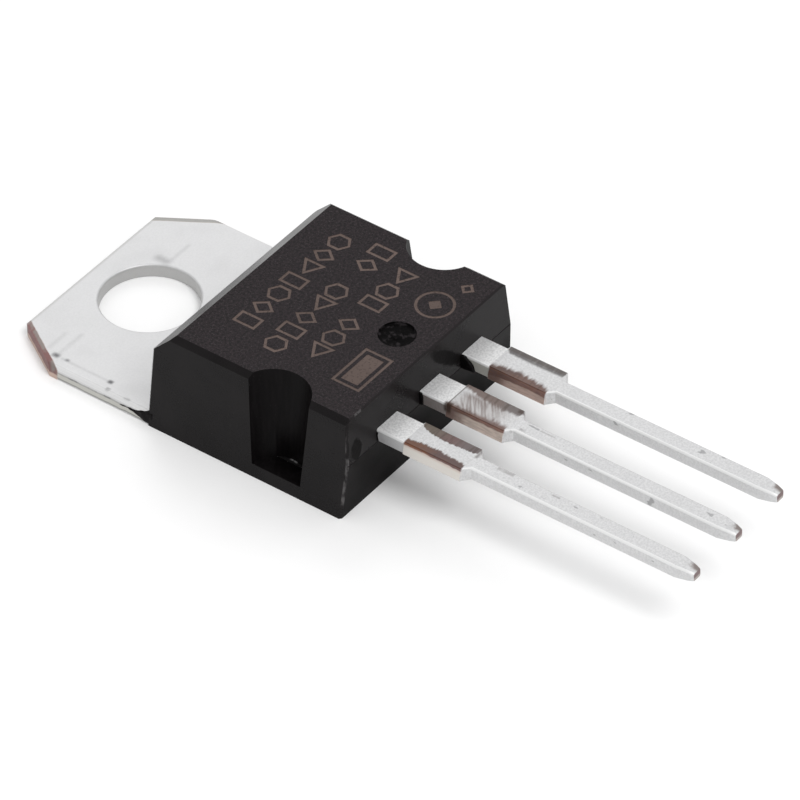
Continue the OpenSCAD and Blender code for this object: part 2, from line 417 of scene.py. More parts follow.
# What the cut tie bar left on each lead's wide part. Three sizes are at its start, middle and end.
leadLooks = {
    "input_lead": {
        "centre": -leadPitch,
        "extra": 0.04,  # how far the cut bar stands out on the +X edge
        "smear": (0.32, 0.44, 0.32),  # bare copper on the top, from the near edge
        "soft": 0.05,  # how blurred its rim is
        "band": (0.11, 0.11, 0.13),  # bare copper down the side
        "bandShades": ("plum", "orange"),  # at its end and at its start
        "below": "pale",  # the side's shade under it
        "far": (0.27, 0.42, 0.30),  # bare strip along the far edge
        "farShades": ("plum", "moss"),
        "teeth": 0.30,  # how far the far strip's rim wanders
        # the shoulder's sides are darkened as painted shade from the case beside them, tinted on
        # the middle and output leads
        "shoulder": "tinDark",  # the shade of its sides
        "scratches": 0.0,  # how strongly its top is scraped
        "spots": [  # x range, y range, softness, strength
            ((-2.35, -1.85), (-16.74, -16.62), 0.05, 0.55),
            ((-2.40, -2.25), (-18.35, -17.63), 0.05, 0.35),
            ((-2.40, -2.33), (-20.37, -20.04), 0.04, 0.45),
        ],
    },
    "middle_lead": {
        "centre": 0,
        "extra": 0.06,
        "smear": (0.28, 0.36, 0.34),
        "soft": 0.15,
        "band": (0.16, 0.14, 0.14),
        "bandShades": ("rust", "brown"),
        "below": "tan",
        "far": (0.12, 0.42, 0.34),
        "farShades": ("umber", "umber"),
        "teeth": 0.30,
        "shoulder": "umber",
        "scratches": 0.85,
        "spots": [
            ((-0.74, -0.48), (-14.30, -14.00), 0.07, 0.90),
            ((-0.22, -0.11), (-17.26, -17.02), 0.04, 0.50),
            ((0.50, 0.68), (-16.70, -16.42), 0.06, 0.70),
            ((0.14, 0.19), (-18.33, -17.69), 0.04, 0.40),
        ],
    },
    "output_lead": {
        "centre": leadPitch,
        "extra": 0.11,
        "smear": (0.28, 0.44, 0.26),
        "soft": 0.12,
        "band": (0.34, 0.22, 0.24),
        "bandShades": ("rust", "brown"),
        "below": "clay",
        "far": (0.28, 0.29, 0.25),
        "farShades": ("ash", "ash"),
        "teeth": 0.10,
        "shoulder": "olive",
        "scratches": 0.0,
        "spots": [],
    },
}


def leadTin(name, look, lead, bare):
    finish = Finish(name)
    rise, coats = finish.rise, finish.coats
    colour, rough, crystals = tinBase(finish, look, 0.65)
    xNormal, yNormal, up = finish.normal()
    start, end = lead["stubStart"], lead["stubEnd"]
    rim = lead["stubWidth"] / 2
    along = (finish.y - end) * (1 / (start - end))  # 1 where the wide part starts, 0 at its end
    across = finish.x - bare["centre"]
    depth = lead["low"] + stripThickness - finish.z
    onTop = rise(up, 0.35, 0.55)
    sides = rise(abs(xNormal), 0.45, 0.65)
    comb = finish.stretched((0.4, 3.4, 0.4), 2.2, 4)
    ragged = finish.stretched((1.5, 1.5, 1.5), 2.0, 3)
    streaks = finish.stretched((6.0, 1.0, 6.0), 2.6, 3)
    shoulder = rise(finish.y, start - 0.02, start + 0.02)
    stub = finish.band(finish.y + ragged * 0.1, end + 0.04, start + 0.05, 0.03)
    thinPart = rise(finish.y, end - 0.1, end - 0.3)
    # the shoulder's sides are darker, painted shade from the dark case beside them, and its top is
    # polished
    nearRoll = rise(xNormal, -0.15, -0.3) * rise(up, 0.15, 0.3)
    polished = finish.mix(rise(crystals, 0.64, 0.36) * 0.5, look["bright"], look["tinDark"])
    colour = coats(
        colour,
        (shoulder * sides * 0.7, look[bare["shoulder"]]),
        # the thin part's sides are a little lighter: painted light
        (thinPart * sides * 0.2, look["bright"]),
        (shoulder * onTop, polished),
        # a painted highlight along the rounded near top edge, all along the lead
        (nearRoll, look["bright"]),
    )
    # bare copper down the sides
    lateShade, earlyShade = (look[shade] for shade in bare["bandShades"])
    early = rise(along + ragged * 0.3, 0.55, 0.95)
    copper = coats(
        lateShade,
        (early, earlyShade),
        (rise(streaks, 0.50, 0.62) * 0.55, look["plum"]),
        (rise(streaks, 0.46, 0.36) * 0.45, look["orange"]),
    )
    edge = finish.curve(along, *bare["band"])
    below = look[bare["below"]]
    if bare["below"] == "pale":
        lower = finish.mix(rise(depth - edge, 0.12, 0.02) * 0.6, below, look["peach"])
    else:
        lower = coats(
            below,
            (rise(streaks, 0.35, 0.7) * 0.35, look["umber"]),
            (rise(along + ragged * 0.2, 0.70, 0.98) * 0.9, look["brown"]),
        )
    inBand = rise(depth + (ragged - 0.5) * 0.1 - edge, 0.025, -0.025)
    arris = rise(depth + comb * 0.05, 0.11, 0.06) * rise(streaks, 0.40, 0.55)
    side = coats(lower, (inBand, copper), (arris * 0.6, look["orange"]))
    # and over the top's near edge, with a toothed rim
    soft = bare["soft"]
    fromReach = across + rim - finish.curve(along, *bare["smear"]) * (0.5 + comb)
    smear = rise(fromReach, soft, -soft) * onTop
    smearShade = coats(
        copper,
        (0.50, look["soot"]),
        (rise(fromReach, -0.08, 0.0), look["umber"]),
        (rise(comb, 0.55, 0.7) * 0.45, look["soot"]),
    )
    # the strip along the far edge starts as a thin line
    width = finish.math("MINIMUM", finish.curve(along, *bare["far"]), 2.6 - along * 2.5)
    wander = (comb - 0.5) * bare["teeth"]
    inStrip = rise(across + width + wander - rim, -0.6 * soft, 0.6 * soft) * onTop
    farLate, farEarly = (look[shade] for shade in bare["farShades"])
    if "ash" in bare["farShades"]:
        stripShade = coats(
            look["ash"],
            (rise(comb, 0.40, 0.65) * 0.35, look["grey"]),
            (rise(across, rim - 0.18, rim - 0.10) * 0.5, look["soot"]),
        )
    else:
        stripShade = coats(
            farLate,
            (early, farEarly),
            (rise(ragged, 0.45, 0.6) * 0.35, look["umber"]),
            (rise(along, 0.45, 0.2) * 0.6, look["ash"]),
            (rise(comb, 0.46, 0.62) * 0.55, look["soot"]),
        )
    colour = coats(
        colour,
        (stub * sides * 0.95, side),
        (stub * smear * 0.94, smearShade),
        (stub * inStrip * 0.94, stripShade),
    )
    bumps = crystals
    if bare["scratches"]:
        # scraped across, up to a dark line where the wide part starts
        scrape = rise(finish.stretched((0.7, 7.4, 1.0), 1.8, 3, 38), 0.34, 0.66)
        zone = rise(along, -0.1, 0.5) * rise(finish.y, start + 0.1, start - 0.5)
        amid = finish.band(across, -rim + 0.24, rim - 0.34, 0.14)
        worn = rise(across, -0.6, 0.7) * 0.25 + scrape * 0.5 + 0.28
        line = finish.band(finish.y, start - 0.05, start, 0.015) * onTop
        colour = coats(
            colour,
            (zone * onTop * amid * bare["scratches"], finish.mix(worn, look["tin"], look["umber"])),
            (line * 0.6, look["soot"]),
        )
        bumps = bumps - scrape * zone * 0.8
    for xRange, yRange, blur, strength in bare["spots"]:
        spot = finish.patch(xRange, yRange, blur) * rise(ragged, 0.2, 0.5)
        colour = finish.mix(spot * rise(depth, 0.45, 0.25) * strength, colour, look["soot"])
    # small dark dents on the thin part; the tip was cut after plating, so the upper half of its
    # end and the top's far edge beside it are darker
    dents = rise(finish.stretched((1.6, 0.7, 1.6), 2.4, 1), 0.72, 0.77)
    atTip = rise(yNormal, -0.7, -0.9) * thinPart
    tipShade = finish.mix(rise(depth + ragged * 0.1, 0.42, 0.32), look["tipEnd"], look["plum"])
    fromTip = finish.y + ragged * 0.5 - lead["tipY"]
    smudge = rise(fromTip, 0.70, 0.45) * onTop * rise(across + ragged * 0.2, 0.04, 0.18)
    colour = coats(
        colour,
        (dents * thinPart * 0.5, look["dirt"]),
        (atTip * 0.85, tipShade),
        (smudge * 0.80, look["umber"]),
    )
    return finish.set(
        colour=colour, metallic=0.5, roughness=rough, normal=finish.bump(bumps, 0.008, 0.7)
    )


# Dirt and scratches on the tab: x range, y range, softness, strength.
tabMarks = {
    "edgeLine": ((-4.62, -4.54), (-1.80, 0.50), 0.08, 0.24),
    "dirtSpotA": ((-4.66, -4.46), (0.62, 0.90), 0.10, 0.9),
    "dirtSpotB": ((-4.60, -4.48), (0.16, 0.32), 0.07, 0.7),
    "dirtSpotC": ((-4.66, -4.48), (-1.90, -1.70), 0.07, 0.9),
    "dirtSpotD": ((-5.00, -4.86), (-2.05, -1.88), 0.06, 0.6),
    "dirtSpotE": ((-4.98, -4.90), (-3.00, -2.72), 0.06, 0.5),
    "scratchA": ((-4.41, -3.30), (1.20, 1.29), 0.13, 0.22),
    "scratchB": ((-4.47, -3.03), (0.67, 0.76), 0.13, 0.26),
    "smudgeA": ((1.86, 2.16), (0.65, 1.32), 0.18, 0.38),
    "smudgeB": ((2.10, 3.30), (0.66, 0.75), 0.11, 0.24),
}


def tabTin(name, look, strip, marks):
    finish = Finish(name)
    rise, band, coats = finish.rise, finish.band, finish.coats
    colour, rough, crystals = tinBase(finish, look, 0.20)
    xNormal, _, up = finish.normal()
    upright = rise(abs(up), 0.75, 0.45)
    fromHole = finish.length(finish.x, finish.y) - strip["holeRadius"]
    outside = rise(fromHole, 0.15, 0.3)
    ragged = finish.stretched((1.0, 1.0, 0.4), 2.6, 4)
    lumps = finish.stretched((0.5, 1.2, 0.5), 2.0, 3)
    # the hole's wall is a darker grey, painted shade inside the hole, and the rolled edges are
    # brighter, a painted highlight; the sheared side has two thin dark lines and is duller between
    # them
    rolled = rise(abs(xNormal), 0.15, 0.3) * rise(up, 0.15, 0.3)
    sheared = upright * outside
    height = finish.z + (ragged - 0.5) * 0.10
    upper = band(height, 0.31, 0.38, 0.035) * (0.45 + rise(lumps, 0.48, 0.62) * 0.5)
    colour = coats(
        colour,
        ((1 - outside) * upright * 0.48, look["grey"]),
        (rolled * outside * 0.8, look["bright"]),
        (sheared * band(height, 0.06, 0.36, 0.03) * 0.6, look["olive"]),
        (outside * upper * 0.90, look["dirt"]),
        (sheared * band(height, 0.06, 0.12, 0.02) * 0.60, look["dirt"]),
    )
    # the two corner cuts were made after plating and are bare copper, with a bare rim on top;
    # that of the +X corner kept its tin
    cutX, cutY = strip["cornerCut"]
    size = math.hypot(cutX, cutY)
    reach = (strip["tabWidth"] / 2 * cutY + (strip["endY"] - cutY) * cutX) / size
    outward = abs(finish.x) * (cutY / size) + finish.y * (cutX / size) - reach
    bareRim = strip["bareRim"]
    cut = rise(outward + (ragged - 0.5) * 0.06, -bareRim - 0.02, -bareRim + 0.03)
    cutShade = coats(
        look["bareCut"],
        (rise(lumps, 0.36, 0.54), look["cutGrey"]),
        (rise(outward, -bareRim / 2, 0.0), look["bareCut"]),
        (rise(up, 0.1, 0.2) * rise(finish.x, 0.0, 1.0), look["grey"]),
    )
    wavy = finish.z + (ragged - 0.5) * 0.2
    colour = coats(colour, (cut, look["peach"]), (cut * rise(wavy, 0.14, 0.24), cutShade))
    for xRange, yRange, blur, strength in marks.values():
        broken = rise(finish.noise(3.0, 3, 0.6, xRange[0] * 3), 0.2, 0.5)
        spot = finish.patch(xRange, yRange, blur) * broken * rise(up, 0.1, 0.3)
        colour = finish.mix(spot * strength, colour, look["dirt"])
    # the pad's edge at the notches is under a film of resin, with a few glints along the wall
    toNotch = abs(finish.x) - caseHigh.x
    fromNotch = finish.length(toNotch, finish.y - endY - case["notchToEnd"])
    radius = case["notchFootRadius"]
    glint = rise(fromNotch, radius - 0.10, radius - 0.04) * rise(lumps, 0.5, 0.65)
    film = rise(fromNotch, radius + 0.12, radius + 0.04) * rise(up, 0.3, 0.7)
    # a thin grey line along the free end, where the strip was parted
    parted = rise(finish.y, strip["endY"] - 0.14, strip["endY"] - 0.02) * outside
    colour = coats(
        colour,
        (film * (1 - glint * 0.5), mouldingLook["notch"]),
        (parted * 0.45, look["grey"]),
    )
    waves = finish.noise(0.35, 2, 0.4, 6.0)
    return finish.set(
        colour=colour,
        metallic=0.7 - film * 0.7,
        roughness=rough,
        normal=finish.bump(crystals * 0.5 + waves * 6, 0.005, 0.5),
    )


def hiddenFinish(name, shade, metallic, roughness, perMm):
    finish = Finish(name)
    grain = finish.noise(perMm, 3, 0.6)
    return finish.set(
        colour=finish.mix(finish.rise(grain, 0.3, 0.7), toned(shade, 0.6), shade),
        metallic=metallic,
        roughness=roughness + grain * 0.15,
        normal=finish.bump(grain, 0.004, 0.5),
    )


def extruded(bm, faces, move=(0, 0, 0), keep=False):
    # keep leaves the first faces where they are, which closes a solid pulled from a flat outline
    made = bmesh.ops.extrude_face_region(bm, geom=faces, use_keep_orig=keep)["geom"]
    verts = [item for item in made if isinstance(item, bmesh.types.BMVert)]
    bmesh.ops.translate(bm, verts=verts, vec=move)
    return verts, next(item for item in made if isinstance(item, bmesh.types.BMFace))


def solidFrom(bm, points, move):
    # a flat outline made solid along move
    extruded(bm, [bm.faces.new([bm.verts.new(point) for point in points])], move, True)
    bmesh.ops.recalc_face_normals(bm, faces=bm.faces[:])


def extrudeUp(bm, points, low, high):
    solidFrom(bm, [(x, y, low) for x, y in points], (0, 0, high - low))


def facesWhere(bm, test):
    return [face for face in bm.faces if test(face)]


def edgesWhere(bm, test):
    return [edge for edge in bm.edges if test(*(vert.co for vert in edge.verts))]


def bevelEdges(bm, edges, offset, segments, clamp=True):
    bmesh.ops.bevel(
        bm,
        geom=edges,
        offset=offset,
        segments=segments,
        profile=0.5,
        affect="EDGES",
        material=-1,
        clamp_overlap=clamp,
    )


def cutAway(bm, point, normal):
    # drops what lies past the plane and closes the cut
    geometry = bm.verts[:] + bm.edges[:] + bm.faces[:]
    cut = bmesh.ops.bisect_plane(
        bm, geom=geometry, dist=near / 100, plane_co=point, plane_no=normal, clear_outer=True
    )
    rim = [edge for edge in cut["geom_cut"] if isinstance(edge, bmesh.types.BMEdge)]
    bmesh.ops.holes_fill(bm, edges=rim, sides=0)


def turned(bm, outline, centre, steps, slot=0):
    # a closed solid of revolution from (radius, height) points that start and end on the axis
    verts = [bm.verts.new((centre[0] + r, centre[1], z)) for r, z in outline]
    edges = [bm.edges.new(pair) for pair in zip(verts, verts[1:])]
    before = set(bm.faces)
    bmesh.ops.spin(
        bm,
        geom=verts + edges,
        cent=(centre[0], centre[1], 0),
        axis=(0, 0, 1),
        angle=math.tau,
        steps=steps,
        use_merge=True,
    )
    bmesh.ops.remove_doubles(bm, verts=bm.verts[:], dist=near / 100)
    faces = [face for face in bm.faces if face not in before]
    for face in faces:
        face.material_index = slot
    bmesh.ops.recalc_face_normals(bm, faces=faces)


def asObject(name, bm, materials=(), slot=None):
    # slot is the material of every face, where they all have one
    if slot is not None:
        for face in bm.faces:
            face.material_index = slot
    mesh = bpy.data.meshes.new(name)
    bm.to_mesh(mesh)
    bm.free()
    for material in materials:
        mesh.materials.append(material)
    made = bpy.data.objects.new(name, mesh)
    scene.collection.objects.link(made)
    return made


def cutWith(target, cutter):
    modifier = target.modifiers.new(cutter.name, "BOOLEAN")
    modifier.operation = "DIFFERENCE"
    modifier.solver = "EXACT"
    modifier.material_mode = "INDEX"
    modifier.object = cutter


def roundEdges(target, width, segments, angle):
    modifier = target.modifiers.new("edges", "BEVEL")
    modifier.width = width
    modifier.segments = segments
    modifier.limit_method = "ANGLE"
    modifier.angle_limit = math.radians(angle)
    modifier.miter_outer = "MITER_ARC"
    modifier.use_clamp_overlap = True


def applyAll(target, cutters=()):
    # the modifiers become mesh, and the cutters go
    evaluated = target.evaluated_get(bpy.context.evaluated_depsgraph_get())
    mesh = bpy.data.meshes.new_from_object(evaluated)
    target.modifiers.clear()
    target.data = mesh
    for cutter in cutters:
        bpy.data.objects.remove(cutter)


def finishPiece(piece, node=None, smoothAngle=30):
    mesh = piece.data
    mesh.transform(Matrix.Scale(mm, 4))
    mesh.polygons.foreach_set("use_smooth", [True] * len(mesh.polygons))
    mesh.set_sharp_from_angle(angle=math.radians(smoothAngle))
    mesh.update()
    weighted = piece.modifiers.new("flatShading", "WEIGHTED_NORMAL")
    weighted.keep_sharp = True
    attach(piece, "root")
    if node:
        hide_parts(node)
    print(piece.name, "has", len(mesh.polygons), "faces")
    return piece


case = {
    "footY": -3.9,  # where the case stands on the tab
    "sideDraft": 5,  # drafts in degrees
    "tabEndDraft": 3,
    "leadEndDraft": 3,
    "underDraft": 5,
    "topSlope": 0.95,  # height and length of the slope over the tab
    "longBevel": 0.2,
    "leadBevel": 0.06,
    "cornerCut": 0.09,
    "edgeRound": 0.025,
    "notchFootRadius": 1.09,
    "notchDraft": 5,
    "notchToEnd": 3.15,
    "pinMarkRadius": 0.69,
    "pinMarkDepth": 0.1,
    "pinMarkPlace": (0.12, 1.56),  # from the middle plane, from the lead end
    "pinMarkRound": 0.03,
    "pinDotRadius": 0.25,
    "pinDotTop": 0.7,  # part of its radius that is flat
    "pinDotHeight": 0.05,
    "grooveDepth": 0.035,
    "grooveWidth": 0.045,
}

endY = caseLow.y
topZ = caseHigh.z
partingZ = leadLow.z

# the case's finishes, and their places in its list of materials
caseFinishes = [grainedMoulding, smoothMoulding, laserMark, pinFloor, underMoulding, notchMoulding]
grained, smooth, marked, pinned, under, notched = range(6)


def tan(degrees):
    return math.tan(math.radians(degrees))


def caseBlock(case):
    # side view, extruded across, then cut to its drafts and bevelled
    bm = bmesh.new()
    slopeZ = topZ - case["topSlope"]
    slopeY = case["footY"] - slopeZ * tan(case["tabEndDraft"])
    outline = [
        (endY + partingZ * tan(case["underDraft"]), 0),
        (case["footY"], 0),
        (slopeY, slopeZ),
        (slopeY - case["topSlope"], topZ),
        (endY + (topZ - partingZ) * tan(case["leadEndDraft"]), topZ),
        (endY, partingZ),
    ]
    across = caseHigh.x - caseLow.x
    solidFrom(bm, [(caseLow.x, y, z) for y, z in outline], (across, 0, 0))
    draft = math.radians(case["sideDraft"])
    for side in (-1, 1):
        cutAway(bm, (side * caseHigh.x, 0, 0), (side * math.cos(draft), 0, math.sin(draft)))

    def topSide(a, b):
        return min(a.z, b.z) > topZ - near and abs(a.x - b.x) < 0.1

    def topEnd(a, b):
        return min(a.z, b.z) > topZ - near and max(a.y, b.y) < endY + 1

    def upright(a, b):
        return abs(a.z - b.z) > 1 and abs(a.x) > across / 4 and abs(a.y - b.y) < 0.5

    bevels = ((topSide, "longBevel"), (topEnd, "leadBevel"), (upright, "cornerCut"))
    for test, size in bevels:
        bevelEdges(bm, edgesWhere(bm, test), case[size], 1)
    return bm


def caseCutters(case, strip, materials):
    # two tapered notches, the pin mark and the room for the tab and pad
    bm = bmesh.new()
    foot, height = case["notchFootRadius"], topZ + past - stripThickness
    mouth = foot + height * tan(case["notchDraft"])
    outline = [
        (0, stripThickness),
        (foot, stripThickness),
        (mouth, stripThickness + height),
        (0, stripThickness + height),
    ]
    for side in (-1, 1):
        turned(bm, outline, (side * caseHigh.x, endY + case["notchToEnd"]), 64, notched)
    floor = topZ - case["pinMarkDepth"]
    dotTop = floor + case["pinDotHeight"]
    r, dot, edge = case["pinMarkRadius"], case["pinDotRadius"], case["pinMarkRound"]
    outline = [
        (0, dotTop),
        (dot * case["pinDotTop"], dotTop),
        (dot, floor),
        (r - edge, floor),
        (r, floor + edge),
        (r, topZ + 0.01 - edge),
        (r + edge, topZ + 0.01),
        (r + edge, topZ + past),
        (0, topZ + past),
    ]
    x, fromEnd = case["pinMarkPlace"]
    turned(bm, outline, (x, endY + fromEnd), 48, pinned)
    # the fine groove of the parting line across the lead end
    deep, half = case["grooveDepth"], case["grooveWidth"] / 2
    barShape(bm, (0, endY), 2 * caseHigh.x + past, 2 * deep, partingZ - half, partingZ + half)
    notches = asObject("notches", bm, materials)
    bm = bmesh.new()
    w, p = strip["tabWidth"] / 2, strip["padWidth"] / 2
    side = [
        (w, case["footY"] + past),
        (w, strip["rootY"]),
        (p, strip["rootY"]),
        (p, strip["padEndY"]),
    ]
    extrudeUp(bm, [(-x, y) for x, y in side] + side[::-1], -past, stripThickness)
    return [notches, asObject("metalRoom", bm, materials, smooth)]


# Plain marks cut by a laser. Each shape has its number of sides, turn in degrees and width,
# then how many strokes its inner outline is smaller in x and y, and is shifted in x.
marking = {
    "stroke": 0.115,
    "depth": 0.012,
    "height": 1.0,  # of each shape in a row
    "shapes": {
        "square": (4, 45, 0.66, (2, 2), 0),
        "diamond": (4, 0, 0.80, (2.5, 3.1), 0),
        "hexagon": (6, 0, 0.84, (2.2, 2), 0),
        "wedge": (3, 90, 0.84, (2.9, 3.5), 0.48),
    },
    "rows": [  # y of the row, then shape and x of its middle
        (-6.57, [("square", -2.38), ("diamond", -1.50), ("hexagon", -0.56), ("square", 0.34),
                 ("wedge", 1.20), ("diamond", 2.10), ("hexagon", 3.02)]),
        (-8.18, [("hexagon", -2.84), ("square", -1.92), ("diamond", -1.06), ("wedge", -0.18),
                 ("hexagon", 0.74), ("diamond", 2.56), ("square", 3.46)]),
        (-9.66, [("wedge", -2.30), ("hexagon", -1.38), ("diamond", -0.46),
                 ("square", 0.98), ("hexagon", 1.82), ("wedge", 2.74)]),
    ],
    "ring": ((2.22, -11.51), 0.76),
    "field": ((-2.18, -11.56), (2.1, 1.25)),
    "small": ((3.62, -11.93), 0.62),
    "ringDiamond": 0.8,  # part of the ring's radius
    "fieldMargin": 4.5,  # strokes between the frame's rim and its solid middle, both sides together
}


def placedLoop(bm, centre, sides, turn, size, low, fill=False):
    turnMatrix = Matrix.Rotation(math.radians(turn), 4, "Z")
    made = bmesh.ops.create_circle(bm, cap_ends=fill, segments=sides, radius=1, matrix=turnMatrix)
    loop = made["verts"]
    xs, ys = [v.co.x for v in loop], [v.co.y for v in loop]
    scale = (size[0] / (max(xs) - min(xs)), size[1] / (max(ys) - min(ys)), 1)
    middle = Vector(((max(xs) + min(xs)) / 2, (max(ys) + min(ys)) / 2, 0))
    bmesh.ops.translate(bm, verts=loop, vec=-middle)
    bmesh.ops.scale(bm, verts=loop, vec=scale)
    bmesh.ops.translate(bm, verts=loop, vec=(*centre, low))
    return loop


def outlineShape(bm, centre, sides, turn, size, stroke, low, high, inset=(2, 2), shift=0):
    # two loops bridged to a flat outline, then made solid
    outer = placedLoop(bm, centre, sides, turn, size, low)
    size = [length - strokes * stroke for length, strokes in zip(size, inset)]
    inner = placedLoop(bm, (centre[0] + shift * stroke, centre[1]), sides, turn, size, low)
    edges = dict.fromkeys(edge for v in outer + inner for edge in v.link_edges)
    rim = bmesh.ops.bridge_loops(bm, edges=list(edges))["faces"]
    extruded(bm, rim, (0, 0, high - low), True)


def solidShape(bm, centre, sides, turn, size, low, high):
    loop = placedLoop(bm, centre, sides, turn, size, low, True)
    extruded(bm, list(loop[0].link_faces), (0, 0, high - low), True)


def barShape(bm, centre, width, height, low, high):
    x, y = centre
    cube = bmesh.ops.create_cube(bm, size=1)["verts"]
    bmesh.ops.scale(bm, verts=cube, vec=(width, height, high - low))
    bmesh.ops.translate(bm, verts=cube, vec=(x, y, (low + high) / 2))


def markCutter(marking, materials):
    bm = bmesh.new()
    low, high = topZ - marking["depth"], topZ + 0.2
    stroke, height = marking["stroke"], marking["height"]
    for y, row in marking["rows"]:
        for shape, x in row:
            sides, turn, width, inset, shift = marking["shapes"][shape]
            size = (width, height)
            outlineShape(bm, (x, y), sides, turn, size, stroke, low, high, inset, shift)
    centre, radius = marking["ring"]
    outlineShape(bm, centre, 40, 0, (2 * radius, 2 * radius), stroke, low, high)
    size = (radius * marking["ringDiamond"],) * 2
    solidShape(bm, centre, 4, 0, size, low, high)
    centre, size = marking["field"]
    outlineShape(bm, centre, 4, 45, size, stroke, low, high)
    size = [length - marking["fieldMargin"] * stroke for length in size]
    solidShape(bm, centre, 4, 45, size, low, high)
    centre, width = marking["small"]
    outlineShape(bm, centre, 4, 0, (width, width), stroke, low, high, (2.8, 2.8))
    bmesh.ops.recalc_face_normals(bm, faces=bm.faces[:])
    return asObject("marks", bm, materials, marked)


strip = {
    "tabWidth": frameHigh.x - frameLow.x,
    "endY": frameHigh.y,
    "cornerCut": (1.3, 2.1),
    "bareRim": 0.2,  # width of the bare copper on top, beside a corner cut
    "rootY": case["footY"] - 0.35,  # where the tab steps in to the pad
    "padWidth": frameHigh.x - frameLow.x - 1.7,
    "padEndY": endY + 2.54,
    "holeRadius": 1.9,
    "roll": 0.2,  # rounding of the two long upper edges, from the punch
    "holeRoll": 0.1,
    "holeRound": 0.03,  # edge of the hole on the flat back
}

lead = {
    "low": leadLow.z,
    "shoulderWidth": 1.26,
    "stubWidth": 1.38,
    "stubInset": 0.09,  # how much its upper side falls short on the -X edge
    "thinWidth": 0.7,
    "stubStart": endY - 1.16,
    "stubEnd": endY - 3.66,
    "stubStep": 0.02,  # length of the step at its start, and of the cut corners at its end
    "stubCut": 0.12,  # width that its cut corners take
    "stepLength": 0.26,
    "tipY": leadLow.y,
    "tipLength": 0.75,
    "tipWidth": 0.42,
    "tipThickness": 0.36,
    "tipMiddle": (0.35, 0.58, 0.45),  # parts of its length, and of the way to its final size
    "postToEnd": 0.9,  # from the bond post to the case's end
    "postWidth": 2.1,
    "postLength": 1.2,
    "postCut": 0.3,
    "middleRun": 0.6,  # level run of the middle lead inside the case
    "bendRadius": 0.3,
    "roll": 0.08,
    "neck": 0.3,  # length inside the case over which the corners get their rounding
    "tipRound": 0.05,
}


def pullFace(bm, face, y, centreX, width, low, high, topInset=0):
    # pulls an end face out along -Y to a new section, and keeps its rounded corners;
    # topInset narrows the upper side on its -X edge alone
    verts, face = extruded(bm, [face])
    wasLow, wasHigh = min(v.co.z for v in verts), max(v.co.z for v in verts)
    middle = (wasLow + wasHigh) / 2
    left, right = centreX - width / 2, centreX + width / 2
    lower = [v for v in verts if v.co.z < middle]
    upper = [v for v in verts if v.co.z > middle]
    parts = ((lower, left, low - wasLow), (upper, left + topInset, high - wasHigh))
    for part, start, lift in parts:
        leftMove = start - min(v.co.x for v in part)
        rightMove = right - max(v.co.x for v in part)
        for v in part:
            v.co.x += rightMove if v.co.x > centreX else leftMove
            v.co.z += lift
            v.co.y = y
    return face


def roundCorners(bm, face, y, centreX, lead):
    # a short neck inside the case, where the square section gets its rounded corners
    low, high = lead["low"], lead["low"] + stripThickness
    face = pullFace(bm, face, y, centreX, lead["shoulderWidth"], low, high)
    verts = set(face.verts)
    long = [e for v in face.verts for e in v.link_edges if e.other_vert(v) not in verts]
    bevelEdges(bm, long, lead["roll"], 3, clamp=False)
    atEnd = facesWhere(bm, lambda f: all(abs(v.co.y - y) < near for v in f.verts))
    return next(f for f in atEnd if abs(f.calc_center_median().x - centreX) < 10 * near)


def bendFace(bm, face, centre, degrees, steps):
    y, z = centre
    geometry = [face] + list(face.edges) + list(face.verts)
    made = bmesh.ops.spin(
        bm,
        geom=geometry,
        cent=(0, y, z),
        axis=(1, 0, 0),
        angle=math.radians(degrees),
        steps=steps,
        use_duplicate=False,
    )
    return next(f for f in made["geom_last"] if isinstance(f, bmesh.types.BMFace))


def pullLead(bm, face, centreX, lead, extra):
    # extra is how far the wide part stands out on its +X edge
    low, high = lead["low"], lead["low"] + stripThickness
    face = roundCorners(bm, face, endY + lead["neck"], centreX, lead)
    shoulder, stub, thin = lead["shoulderWidth"], lead["stubWidth"], lead["thinWidth"]
    start, end, step = lead["stubStart"], lead["stubEnd"], lead["stubStep"]
    inset = lead["stubInset"]
    sections = [
        (endY, shoulder, 0, 0),
        (start + step, shoulder, 0, 0),
        (start, stub, inset, extra),
        (end, stub, inset, extra),
        (end - step, stub - lead["stubCut"], inset / 2, extra / 2),
        (end - lead["stepLength"], thin, 0, 0),
        (lead["tipY"] + lead["tipLength"], thin, 0, 0),
    ]
    for y, width, topInset, more in sections:
        middle = centreX + more / 2
        face = pullFace(bm, face, y, middle, width + more, low, high, topInset)
    spare = (stripThickness - lead["tipThickness"]) / 2
    along, narrowed, thinned = lead["tipMiddle"]
    width = thin - (thin - lead["tipWidth"]) * narrowed
    for y, width, lift in (
        (lead["tipY"] + lead["tipLength"] * along, width, spare * thinned),
        (lead["tipY"], lead["tipWidth"], spare),
    ):
        face = pullFace(bm, face, y, centreX, width, low + lift, high - lift)
    bevelEdges(bm, list(face.edges), lead["tipRound"], 2)


def endFace(bm, y, centreX, width):
    # the face that looks along -Y there, between two cuts
    def fits(face):
        middle = face.calc_center_median()
        wide = max(v.co.x for v in face.verts) - min(v.co.x for v in face.verts)
        return (
            face.normal.y < -0.9
            and abs(middle.y - y) < near
            and abs(middle.x - centreX) < near
            and abs(wide - width) < near
        )

    return facesWhere(bm, fits)[0]


def dropInnerWalls(bm):
    # a pulled end face stays behind inside, where each of its edges has more than two faces
    walls = facesWhere(bm, lambda face: all(len(edge.link_faces) > 2 for edge in face.edges))
    bmesh.ops.delete(bm, geom=walls, context="FACES_ONLY")
    bmesh.ops.recalc_face_normals(bm, faces=bm.faces[:])


